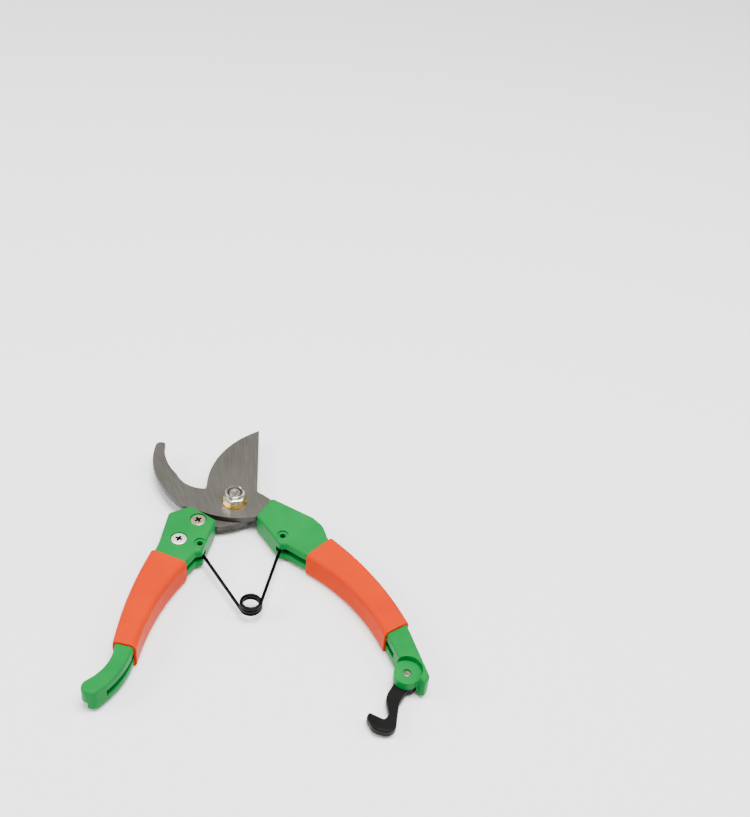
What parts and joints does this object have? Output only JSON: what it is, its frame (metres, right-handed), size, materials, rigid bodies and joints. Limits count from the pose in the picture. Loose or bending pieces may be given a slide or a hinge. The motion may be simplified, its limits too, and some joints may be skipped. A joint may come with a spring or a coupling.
{
  "type": "pruning shears",
  "caption": "Bypass pruning shears with a hooked blade, a curved cutting blade, sleeved plastic handles, an opening spring and a swinging latch.",
  "frame": {"origin": "centre of the flat on the pivot bolt's head, on the surface that the open shears lie on", "axes": "+Z is the pivot axis, from the bolt head to the nut; +Y runs from the handles towards the blade tips, half way between the handles' pointing directions"},
  "size_m": [0.1468, 0.1982, 0.0171],
  "materials": {
    "blade_steel": "ground",
    "green_plastic": "moulded",
    "orange_vinyl": "dipped",
    "bright_steel": "plated",
    "dark_steel": "blackened",
    "yellow_zinc": "plated",
    "black_nylon": "matt",
    "black_plastic": "moulded",
    "black_wire": "blackened"
  },
  "bodies": {
    "hook_half": {"hook_blade": "blade_steel", "right_handle": "green_plastic", "right_grip": "orange_vinyl", "right_upper_screw": "bright_steel", "right_lower_screw": "bright_steel", "pivot_bolt": "bright_steel", "head_washer": "dark_steel", "nut_washer": "yellow_zinc", "pivot_nut": "bright_steel", "nut_insert": "black_nylon", "latch_rivet": "bright_steel"},
    "cutting_half": {"cutting_blade": "blade_steel", "left_handle": "green_plastic", "left_grip": "orange_vinyl", "left_upper_screw": "bright_steel", "left_lower_screw": "bright_steel"},
    "latch": {"latch": "black_plastic"},
    "spring_right": {"spring_right_half": "black_wire"},
    "spring_left": {"spring_left_half": "black_wire"}
  },
  "joints": [
    {"name": "blade_pivot", "type": "hinge", "parent": "hook_half", "child": "cutting_half", "pos_m": [0, 0, 0], "axis": [0, 0, 1], "range_deg": [0, 52.5], "stiffness_Nm_per_rad": 0.6, "springref_deg": -5.73},
    {"name": "latch_pivot", "type": "hinge", "parent": "hook_half", "child": "latch", "pos_m": [0.05713, -0.11833, 0], "axis": [0, 0, 1], "range_deg": [-24, 36]},
    {"name": "spring_hook", "type": "hinge", "parent": "hook_half", "child": "spring_right", "pos_m": [0.01878, -0.02977, 0], "axis": [0, 0, 1], "range_deg": [0, 48]},
    {"name": "spring_coil", "type": "hinge", "parent": "spring_right", "child": "spring_left", "pos_m": [-0.00274, -0.06526, 0], "axis": [0, 0, 1], "range_deg": [-43.5, 0]}
  ],
  "couplings": [
    {"joint": "spring_hook", "follows": "blade_pivot", "ratio": 0.91352},
    {"joint": "spring_coil", "follows": "blade_pivot", "ratio": -0.82705}
  ]
}
